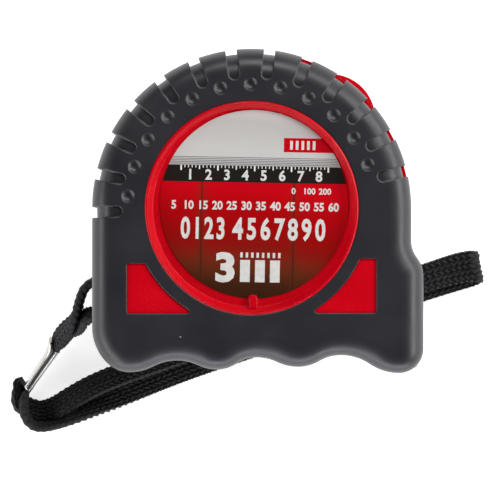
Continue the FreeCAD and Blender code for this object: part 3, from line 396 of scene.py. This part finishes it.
bmesh.ops.transform(bm, matrix=stand @ Matrix.Rotation(rolled_over, 4, "Z"), verts=bm.verts)
ferrule = piece_of("crimp_ferrule", bm)
sheet = ferrule.modifiers.new("sheet", "SOLIDIFY")
sheet.thickness, sheet.offset = tin_wall, 0.0
soft = ferrule.modifiers.new("soft", "SUBSURF")
soft.levels = soft.render_levels = 2
bright_tin, tree, shader = finish_of("bright_tin", (0.74, 0.72, 0.70), 0.2, metallic=1.0)
lengthwise = add(tree, "Mapping", Vector=object_place(tree), set_vector_type="TEXTURE",
                 Rotation=(0, 0, math.radians(55)), Scale=(0.009, 0.0008, 0.0014)).outputs[0]
drawn = noise(tree, Vector=lengthwise, Scale=1.0, Detail=5.0)
grey_tin, white_tin = (0.50, 0.48, 0.455), (0.70, 0.68, 0.66)
wire(tree, ramp(tree, drawn, (0.3, 0.20), (0.75, 0.32)), shader.inputs["Roughness"])
wire(tree, ramp(tree, drawn, (0.25, grey_tin), (0.7, white_tin)), shader.inputs["Base Color"])
wire(tree, bump(tree, Strength=0.05, Distance=0.00004, Height=drawn), shader.inputs["Normal"])
ferrule.data.materials.append(bright_tin)
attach(ferrule, "case")
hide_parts("strap_ferrule")

# ---------------------------------------------------------------- rubber jackets
# Charcoal thermoplastic rubber moulded over each half of the shell, and the
# pad behind the end hook in the same rubber: a fine matt grain from the
# tool, a painted highlight that makes the corners paler, and specks of dust.


def dress(material, *names):
    """Give the CAD pieces of these names one material all over."""
    for name in names:
        mesh = nodes[name].data
        mesh.materials.clear()
        mesh.materials.append(material)
        mesh.polygons.foreach_set("material_index", [0] * len(mesh.polygons))


def rounded(tree, radius):
    """The normal with its sharp corners rounded off."""
    return add(tree, "Bevel", set_samples=8, Radius=radius).outputs[0]


def corner_share(tree, normal):
    """How much of a corner a point is: 0 on a flat, and more where the normal is rounded."""
    dot = tree.nodes.new("ShaderNodeVectorMath")
    dot.operation = "DOT_PRODUCT"
    wire(tree, normal, dot.inputs[0])
    wire(tree, add(tree, "NewGeometry").outputs["Normal"], dot.inputs[1])
    return maths(tree, "SUBTRACT", 1.0, dot.outputs["Value"])


def over(tree, base, top, mask):
    """One colour laid over another where the mask is 1."""
    node = add(tree, "Mix", set_data_type="RGBA")
    for socket, value in ((node.inputs[0], mask), (node.inputs[6], base), (node.inputs[7], top)):
        feed(tree, socket, value)
    return node.outputs[2]


rubber, tree, shader = finish_of("charcoal_rubber", (0.021, 0.0205, 0.0255), 0.33, level=0.52)
where = object_place(tree)
corner = rounded(tree, 0.0004)
grain = noise(tree, Vector=where, Scale=5200.0, Detail=3.0, Roughness=0.6)
cloud = noise(tree, Vector=where, Scale=90.0, Detail=4.0)
dust = add(tree, "TexVoronoi", Vector=where, Scale=210.0)
lot = add(tree, "SeparateColor", Color=dust.outputs["Color"]).outputs[0]
speck = both(tree, maths(tree, "LESS_THAN", dust.outputs["Distance"], 0.035),
             maths(tree, "GREATER_THAN", lot, 0.9))
# Painted highlight: rounded corners and edges, found by the bevelled normal, are made paler towards
# a lavender grey.
painted_edge_highlight = both(tree, corner_share(tree, corner), 0.35)
body = ramp(tree, cloud, (0.3, (0.0165, 0.0160, 0.0208)), (0.7, (0.0200, 0.0195, 0.0245)))
# Paler where the painted edge highlight lies, and at each speck of dust.
pale = maths(tree, "MINIMUM", maths(tree, "ADD", painted_edge_highlight, speck), 1.0)
wire(tree, over(tree, body, (0.30, 0.30, 0.32), pale), shader.inputs["Base Color"])
wire(tree, ramp(tree, cloud, (0.3, 0.33), (0.7, 0.43)), shader.inputs["Roughness"])
wire(tree, bump(tree, Strength=0.25, Distance=0.00005, Height=grain, Normal=corner),
     shader.inputs["Normal"])
dress(rubber, "front_jacket", "rear_jacket", "hook_bumper")

# ---------------------------------------------------------------- shells and lock button
# Red ABS, moulded in two halves with a fine spark finish.  It shows as the
# ring round the disc, the corner windows, the lock's track on the rim, the
# round plate at the back and the walls of the strap pocket; the lock button
# is moulded in the same red.
red, tree, shader = finish_of("red_abs", (0.60, 0.0008, 0.0085), 0.25, level=0.22)
where = object_place(tree)
spark = noise(tree, Vector=where, Scale=1900.0, Detail=4.0, Roughness=0.7)
cloud = noise(tree, Vector=where, Scale=140.0, Detail=3.0)
shade = maths(tree, "ADD", both(tree, spark, 0.55), both(tree, cloud, 0.45))
deep, plain, light = (0.50, 0.0004, 0.0065), (0.58, 0.0007, 0.0085), (0.66, 0.0020, 0.0125)
wire(tree, ramp(tree, shade, (0.32, deep), (0.5, plain), (0.68, light)),
     shader.inputs["Base Color"])
wire(tree, ramp(tree, shade, (0.3, 0.19), (0.7, 0.29)), shader.inputs["Roughness"])
wire(tree, bump(tree, Strength=0.35, Distance=0.00006, Height=spark, Normal=rounded(tree, 0.0003)),
     shader.inputs["Normal"])
dress(red, "front_shell", "rear_shell", "lock_button")

# ---------------------------------------------------------------- printed disc
# Self-adhesive foil, stuck a little off centre in the ring: silver over red
# that is coloured darker to brown towards the foot, with a black scale band, pinstripes,
# a red tab and painted shade along two creases. Its colours are laid out in millimetres from its
# middle, u across and v up.
low, high = (Vector(c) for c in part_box("front_label"))
disc_x, disc_y, disc_top = (low.x + high.x) / 2, (low.y + high.y) / 2, high.z
askew = math.radians(-1.1)
foil, tree, shader = finish_of("printed_foil", (0.6, 0.6, 0.6), 0.24, level=0.30)
art_place = add(tree, "Mapping", Vector=object_place(tree), set_vector_type="TEXTURE",
                Location=(disc_x, disc_y, 0), Rotation=(0, 0, askew),
                Scale=(MM, MM, MM)).outputs[0]
u, v, _ = add(tree, "SeparateXYZ", Vector=art_place).outputs


def above(tree, value, limit):
    return maths(tree, "GREATER_THAN", value, limit)


def below(tree, value, limit):
    return maths(tree, "LESS_THAN", value, limit)


def between(tree, value, low, high):
    return both(tree, above(tree, value, low), below(tree, value, high))


def span(tree, value, low, high):
    """How far a value is from low (0) to high (1)."""
    return add(tree, "MapRange", Value=value, From_Min=low, From_Max=high).outputs[0]


def line_every(tree, value, pitch, half_line):
    """1 on lines a pitch apart, each twice half_line wide."""
    return below(tree, maths(tree, "PINGPONG", value, pitch / 2), half_line)


# silver field with its pinstripes
band_low, band_high = 4.4, 7.75  # edges of the black scale band
stretched = add(tree, "Mapping", Vector=art_place, Scale=(0.05, 0.16, 1)).outputs[0]
sheen = maths(tree, "SUBTRACT", noise(tree, Vector=stretched, Scale=1.0, Detail=2.0), 0.5)
silver = ramp(tree, maths(tree, "ADD", span(tree, v, 8.5, 19.0), both(tree, sheen, 0.7)),
              (0.0, (0.60, 0.59, 0.575)), (0.35, (0.60, 0.59, 0.57)),
              (0.62, (0.53, 0.515, 0.50)), (1.0, (0.66, 0.63, 0.61)))
silver = over(tree, silver, (0.10, 0.095, 0.09), both(tree, span(tree, v, 9.6, 7.7), 0.25))
pinstripe = both(tree, line_every(tree, maths(tree, "SUBTRACT", v, band_high), 0.34, 0.07),
                 between(tree, v, band_high, 9.55))
silver = over(tree, silver, (0.03, 0.028, 0.027), both(tree, pinstripe, 0.75))

# red field, brown at the foot and a little higher on the left, with painted shade along two creases
right_of = maths(tree, "MAXIMUM", maths(tree, "SUBTRACT", u, 2.0), 0.0)
fade = span(tree, maths(tree, "ADD", v, both(tree, right_of, 0.16)), -17.1, 3.0)
blood = ramp(tree, fade,
             (0.0, (0.046, 0.0145, 0.0053)), (0.08, (0.063, 0.017, 0.0058)),
             (0.18, (0.112, 0.0215, 0.0068)), (0.27, (0.166, 0.019, 0.0072)),
             (0.34, (0.222, 0.014, 0.0056)), (0.43, (0.262, 0.0065, 0.0038)),
             (0.55, (0.315, 0.0028, 0.0023)), (0.75, (0.405, 0.0008, 0.0033)),
             (0.9, (0.495, 0.0007, 0.0045)), (1.0, (0.58, 0.0006, 0.0075)))
left_u, right_u = -10.7, 8.1


def crease_shade(tree, middle, reach):
    away = maths(tree, "ABSOLUTE", maths(tree, "SUBTRACT", u, middle))
    return maths(tree, "POWER", span(tree, away, reach, 0.0), 2.0)


# Painted shade: the red is darkened towards brown on either side of the two creases, fading out
# over a couple of millimetres.
creases = maths(tree, "MAXIMUM", crease_shade(tree, left_u, 2.6), crease_shade(tree, right_u, 2.2))
blood = over(tree, blood, (0.09, 0.022, 0.008), both(tree, creases, 0.4))
# Painted shade: a darker narrow line along each crease.
painted_crease_lines = maths(tree, "MAXIMUM", between(tree, u, left_u - 0.15, left_u + 0.2),
              between(tree, u, right_u - 0.15, right_u + 0.2))
blood = over(tree, blood, (0.035, 0.012, 0.006), both(tree, painted_crease_lines, 0.55))

# black band with its scale, then the silver above it and the tab
art = over(tree, blood, (0.016, 0.0125, 0.0105), above(tree, v, band_low))
ticks_on_band = None
for pitch, half_line, start in ((0.75, 0.085, 7.25), (3.75, 0.12, 6.95), (7.5, 0.16, 6.7)):
    row = both(tree, line_every(tree, u, pitch, half_line), above(tree, v, start))
    ticks_on_band = row if ticks_on_band is None else maths(tree, "MAXIMUM", ticks_on_band, row)
on_scale = below(tree, maths(tree, "ABSOLUTE", u), 15.2)
art = over(tree, art, (0.86, 0.85, 0.83), both(tree, ticks_on_band, on_scale))
art = over(tree, art, silver, above(tree, v, band_high))
tab = both(tree, above(tree, u, 5.85), between(tree, v, 10.7, 13.6))
art = over(tree, art, (0.56, 0.0007, 0.0085), tab)
fine = noise(tree, Vector=object_place(tree), Scale=3500.0, Detail=3.0)
art = over(tree, art, (0.0, 0.0, 0.0), both(tree, fine, 0.10))
wire(tree, art, shader.inputs["Base Color"])
wire(tree, ramp(tree, fine, (0.3, 0.19), (0.7, 0.28)), shader.inputs["Roughness"])
wire(tree, bump(tree, Strength=0.15, Distance=0.00003, Height=fine), shader.inputs["Normal"])
dress(foil, "front_label")

# The figures are printed on the foil in pale silver: the scale's own numbers,
# a row of large ones, and at the foot a single 3 beside a stack of bars.


def figures(text, size, weight=0.0, narrow=1.0):
    """Flat outlines of printed figures, in millimetres about their own middle."""
    curve = bpy.data.curves.new("figures", "FONT")
    curve.body = text
    curve.size = size
    curve.offset = weight
    curve.resolution_u = 3
    curve.align_x, curve.align_y = "CENTER", "CENTER"
    holder = bpy.data.objects.new("figures", curve)
    mesh = bpy.data.meshes.new_from_object(holder)
    bpy.data.objects.remove(holder)
    mesh.transform(Matrix.Diagonal((narrow, 1, 1, 1)))
    return mesh


def figure_row(numbers, look, start, pitch, height):
    """Numbers at an even pitch, each with its size, weight and narrowing and its place."""
    return [(str(n), *look, (start + pitch * i, height)) for i, n in enumerate(numbers)]


bm = bmesh.new()
ink_level = disc_top + 0.012 * MM
on_disc = Matrix.Translation((disc_x, disc_y, ink_level)) @ Matrix.Rotation(askew, 4, "Z")
on_disc = on_disc @ Matrix.Diagonal((MM, MM, MM, 1))
rows = figure_row(range(1, 9), (2.9, 0.09, 0.95), -13.125, 3.75, 5.75)
rows += figure_row(range(5, 65, 5), (2.35, 0.08, 0.92), -16.35, 2.96, -0.45)
rows += figure_row((0, 100, 200), (1.7, 0.05, 1.0), 8.0, 3.2, 2.75)
rows += figure_row(range(4), (6.0, 0.19, 0.64), -13.9, 2.4, -5.3)
rows += figure_row((4, 5, 6, 7, 8, 9, 0), (6.0, 0.19, 0.7), -3.2, 2.8, -5.3)
rows += figure_row((3,), (7.9, 0.34, 1.12), -5.6, 0.0, -13.3)
for text, size, weight, narrow, (x, y) in rows:
    mesh = figures(text, size, weight, narrow)
    mesh.transform(on_disc @ Matrix.Translation((x, y, 0)))
    bm.from_mesh(mesh)
    bpy.data.meshes.remove(mesh)
bars = [(2.0, 4.5, -1.6 + 3.05 * i, -13.65) for i in range(3)]
bars += [(0.5, 1.05, -2.35 + 1.1 * i, -10.4) for i in range(8)]
bars += [(0.55, 1.8, 7.4 + 1.15 * i, 12.15) for i in range(5)]
for wide, tall, x, y in bars:
    made = bmesh.ops.create_grid(bm, x_segments=1, y_segments=1, size=0.5)["verts"]
    bmesh.ops.scale(bm, verts=made, vec=(wide, tall, 1))
    bmesh.ops.translate(bm, verts=made, vec=(x, y, 0))
    bmesh.ops.transform(bm, matrix=on_disc, verts=made)
print_numbers = piece_of("disc_figures", bm, smooth=False)
ink, tree, shader = finish_of("silver_ink", (0.68, 0.67, 0.64), 0.35, level=0.4)
streak = noise(tree, Vector=object_place(tree), Scale=900.0, Detail=3.0)
wire(tree, ramp(tree, streak, (0.3, (0.62, 0.61, 0.59)), (0.7, (0.72, 0.71, 0.68))),
     shader.inputs["Base Color"])
print_numbers.data.materials.append(ink)
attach(print_numbers, "case")

# ---------------------------------------------------------------- blade
# Crowned spring steel, lacquered yellow, with black graduations on its
# hollow side.  The straight run from reel to hook pays out of the case as
# the blade is pulled; the rest stays wound on the reel.
low, high = (Vector(c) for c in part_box("blade_end"))
travel = 3.0
start_x, end_x = low.x + 0.5 * MM, low.x + 15.0 * MM  # the stretch that pays out
zero_x = high.x + travel
mid_z, half_z = (low.z + high.z) / 2, 8.0 * MM
steel, crown = 0.13 * MM, 0.8 * MM
digit_pitch, centimetre = 2.9, 10.0
black_ink, red_ink = (0.012, 0.011, 0.010), (0.62, 0.006, 0.008)


def hollow(z):
    """Height of the blade's printed side at a place across it."""
    return low.y + steel + crown * min(1.0, abs(z - mid_z) / half_z) ** 2


def paid_out(x):
    """Where a point of the run goes when the blade is fully out."""
    t = min(1.0, max(0.0, (x - start_x) / (end_x - start_x)))
    return x + travel * t * t * (3 - 2 * t)


bm = bmesh.new()
run_of = bm.verts.layers.float.new("run")
side_of = bm.verts.layers.float.new("side")
bmesh.ops.create_grid(bm, x_segments=90, y_segments=14, size=0.5)
bmesh.ops.scale(bm, verts=bm.verts, vec=(high.x - low.x, 2 * half_z, 1))
for point in bm.verts:
    x, z = point.co.x + (low.x + high.x) / 2, point.co.y + mid_z
    point[run_of], point[side_of] = (zero_x - paid_out(x)) / MM, (z - mid_z) / half_z
    point.co = (x, hollow(z), z)
made = bmesh.ops.extrude_face_region(bm, geom=list(bm.faces))["geom"]
underside = [g for g in made if isinstance(g, bmesh.types.BMVert)]
bmesh.ops.translate(bm, verts=underside, vec=(0, -steel, 0))
bmesh.ops.recalc_face_normals(bm, faces=bm.faces)
strip = piece_of("blade_strip", bm)
lacquer, tree, shader = finish_of("yellow_lacquer", (0.80, 0.50, 0.012), 0.26, level=0.5)
run = attribute(tree, "run")
from_middle = maths(tree, "ABSOLUTE", attribute(tree, "side"))


def ticks(pitch, width, reach):
    """Graduations a pitch apart, from both edges in to a share of the half width."""
    return both(tree, line_every(tree, run, pitch, width / 2), above(tree, from_middle, reach))


marks = ticks(1.0, 0.22, 0.76)
for pitch, width, reach in ((5.0, 0.26, 0.62), (10.0, 0.3, 0.45), (100.0, 0.7, 0.0)):
    marks = maths(tree, "MAXIMUM", marks, ticks(pitch, width, reach))
wear = noise(tree, Vector=object_place(tree), Scale=700.0, Detail=4.0)
colour = ramp(tree, wear, (0.3, (0.72, 0.44, 0.010)), (0.7, (0.84, 0.54, 0.016)))
wire(tree, over(tree, colour, black_ink, marks), shader.inputs["Base Color"])
wire(tree, ramp(tree, wear, (0.3, 0.22), (0.7, 0.34)), shader.inputs["Roughness"])
strip.data.materials.append(lacquer)
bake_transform(strip)
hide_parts("blade_end")

# Figures stand at every centimetre, black, and red at every ten.
shapes = {d: figures(d, 5.2, 0.10, 0.72) for d in "0123456789"}


def rest_place(x):
    """Where a point of the paid-out blade lies while the blade is in."""
    if x > end_x + travel:
        return x - travel
    a, b = start_x, end_x
    for _ in range(46):
        c = (a + b) / 2
        a, b = (c, b) if paid_out(c) < x else (a, c)
    return (a + b) / 2


for name, at_tens, paint in (("blade_figures", False, black_ink), ("blade_tens", True, red_ink)):
    bm = bmesh.new()
    for n in range(1, 300):
        if (n % 10 == 0) != at_tens:
            continue
        text = str(n)
        for k, digit in enumerate(text):
            middle = centimetre * n + digit_pitch * (k - (len(text) - 1) / 2)
            mesh = shapes[digit].copy()
            for point in mesh.vertices:
                x = zero_x - (middle + point.co.x) * MM
                z = mid_z + point.co.y * MM
                point.co = (rest_place(x), hollow(z) + 0.02 * MM, z)
            bm.from_mesh(mesh)
            bpy.data.meshes.remove(mesh)
    bmesh.ops.reverse_faces(bm, faces=[f for f in bm.faces if f.normal.y < 0])
    figure_set = piece_of(name, bm, smooth=False)
    paint_of, tree, shader = finish_of(name + "_ink", paint, 0.4)
    patch = noise(tree, Vector=object_place(tree), Scale=1500.0, Detail=2.0)
    worn = tuple(0.85 * c for c in paint)
    wire(tree, ramp(tree, patch, (0.3, worn), (0.7, paint)), shader.inputs["Base Color"])
    figure_set.data.materials.append(paint_of)
    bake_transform(figure_set)

# The wound blade shows only its lacquered back and its edges.
wound, tree, shader = finish_of("wound_lacquer", (0.78, 0.49, 0.012), 0.3)
turns = noise(tree, Vector=object_place(tree), Scale=1200.0, Detail=3.0)
wire(tree, ramp(tree, turns, (0.3, (0.62, 0.38, 0.010)), (0.7, (0.84, 0.54, 0.016))),
     shader.inputs["Base Color"])
dress(wound, "blade_coil")

# ---------------------------------------------------------------- steel parts
# Pressed and bent steel: the belt clip and end hook in nickel, the screws
# and the strap bar in zinc, brass rivets and a blued spring.  Rolling lines
# run along the sheet, and handling has scratched it a little.


def plated(name, colour, rough, stretch):
    """Bright metal with rolling lines; stretch is how fine they are along x, y and z."""
    material, tree, shader = finish_of(name, colour, rough, metallic=1.0)
    where = object_place(tree)
    lines = add(tree, "Mapping", Vector=where, Scale=stretch).outputs[0]
    rolled = noise(tree, Vector=lines, Scale=1.0, Detail=5.0)
    scuff = noise(tree, Vector=where, Scale=260.0, Detail=5.0, Distortion=0.6)
    dull = tuple(0.72 * c for c in colour)
    handled = maths(tree, "ADD", both(tree, rolled, 0.6), both(tree, scuff, 0.4))
    wire(tree, ramp(tree, rolled, (0.3, dull), (0.7, colour)), shader.inputs["Base Color"])
    wire(tree, ramp(tree, handled, (0.35, rough * 0.7), (0.65, rough * 1.5)),
         shader.inputs["Roughness"])
    wire(tree, bump(tree, Strength=0.35, Distance=0.00003, Height=rolled,
                    Normal=rounded(tree, 0.00015)), shader.inputs["Normal"])
    return material


nickel = plated("nickel_sheet", (0.66, 0.65, 0.63), 0.26, (2400, 120, 400))
zinc = plated("zinc_steel", (0.60, 0.61, 0.63), 0.3, (1500, 1500, 300))
brass = plated("brass_rivet", (0.72, 0.58, 0.33), 0.28, (1400, 1400, 1400))
blued = plated("blued_spring", (0.16, 0.17, 0.22), 0.3, (900, 900, 60))
dress(nickel, "belt_clip", "end_hook")
dress(zinc, "clip_screw", "case_screws", "strap_bar")
dress(brass, "hook_rivets")
dress(blued, "return_spring")

# ---------------------------------------------------------------- inner mouldings
# Black acetal, unpainted and slightly glossy: the reel and its cap, the
# arbor, the brake tongue and the guide in the blade's mouth.
acetal, tree, shader = finish_of("black_acetal", (0.016, 0.016, 0.018), 0.38)
cloud = noise(tree, Vector=object_place(tree), Scale=400.0, Detail=4.0)
wire(tree, ramp(tree, cloud, (0.3, (0.012, 0.012, 0.014)), (0.7, (0.021, 0.021, 0.024))),
     shader.inputs["Base Color"])
wire(tree, ramp(tree, cloud, (0.3, 0.3), (0.7, 0.46)), shader.inputs["Roughness"])
wire(tree, bump(tree, Strength=0.2, Distance=0.00004, Height=cloud, Normal=rounded(tree, 0.0002)),
     shader.inputs["Normal"])
dress(acetal, "reel_hub", "reel_cap", "arbor", "brake_tongue", "nose_guide")

# ---------------------------------------------------------------- floor and light
# A white sweep.  Two long soft boxes stand on either side, a third past the
# head and a low strip past the foot, and the room is dim overhead.
bm = bmesh.new()
bmesh.ops.create_grid(bm, x_segments=1, y_segments=1, size=5.0)
bmesh.ops.translate(bm, verts=bm.verts, vec=(0, 0, -0.0001))
floor = piece_of("white_sweep", bm, smooth=False)
paper, tree, shader = finish_of("white_paper", (0.80, 0.80, 0.80), 0.95, level=0.05)
rays = add(tree, "LightPath").outputs
seen = maths(tree, "MAXIMUM", rays["Is Camera Ray"], rays["Is Glossy Ray"])
shader.inputs["Emission Color"].default_value = (1, 1, 1, 1)
wire(tree, both(tree, seen, 0.70), shader.inputs["Emission Strength"])
floor.data.materials.append(paper)

# The room's walls glow, less towards the foot and least in the corner that
# lies to the head's left, so that the rims of the case keep their shape.
world = bpy.data.worlds.new("room")
bpy.context.scene.world = world
world.use_nodes = True
tree = world.node_tree
rays = add(tree, "LightPath").outputs
room = tree.nodes["Background"]
room.inputs["Color"].default_value = (1, 1, 1, 1)
toward = add(tree, "SeparateXYZ", Vector=add(tree, "TexCoord").outputs["Generated"]).outputs
foot_dim = add(tree, "MapRange", Value=toward[1], From_Min=-0.85, From_Max=-0.1,
               To_Min=0.35, To_Max=1.0).outputs[0]
corner_dim = add(tree, "MapRange", Value=maths(tree, "SUBTRACT", toward[1], toward[0]),
                 From_Min=0.3, From_Max=1.1, To_Min=1.0, To_Max=0.25).outputs[0]
glow = ramp(tree, toward[2], (0.0, 1.0), (0.38, 0.9), (0.62, 0.32), (0.85, 0.08), (1.0, 0.04))
glow = both(tree, glow, both(tree, foot_dim, corner_dim))
wire(tree, maths(tree, "MAXIMUM", rays["Is Camera Ray"], glow), room.inputs["Strength"])


def soft_box(name, place, size, watts, colour=(1, 1, 1)):
    """An area lamp that faces the middle of the case."""
    lamp = bpy.data.lights.new(name, "AREA")
    lamp.shape = "RECTANGLE"
    lamp.size, lamp.size_y = size
    lamp.energy = watts
    lamp.color = colour
    holder = bpy.data.objects.new(name, lamp)
    bpy.context.scene.collection.objects.link(holder)
    holder.location = place
    aim = Vector((0, -0.005, 0.02)) - Vector(place)
    holder.rotation_euler = aim.to_track_quat("-Z", "Y").to_euler()


soft_box("left_box", (-0.58, -0.32, 0.28), (1.0, 0.2), 3.5)
soft_box("right_box", (0.64, 0.06, 0.33), (1.0, 0.2), 4.0)
soft_box("foot_box", (0.0, -0.80, 0.06), (1.2, 0.12), 3.6, (0.88, 0.89, 1.0))
soft_box("head_box", (0.2, 0.52, 0.62), (0.8, 0.25), 3.9)

bpy.context.scene.view_settings.view_transform = "Standard"
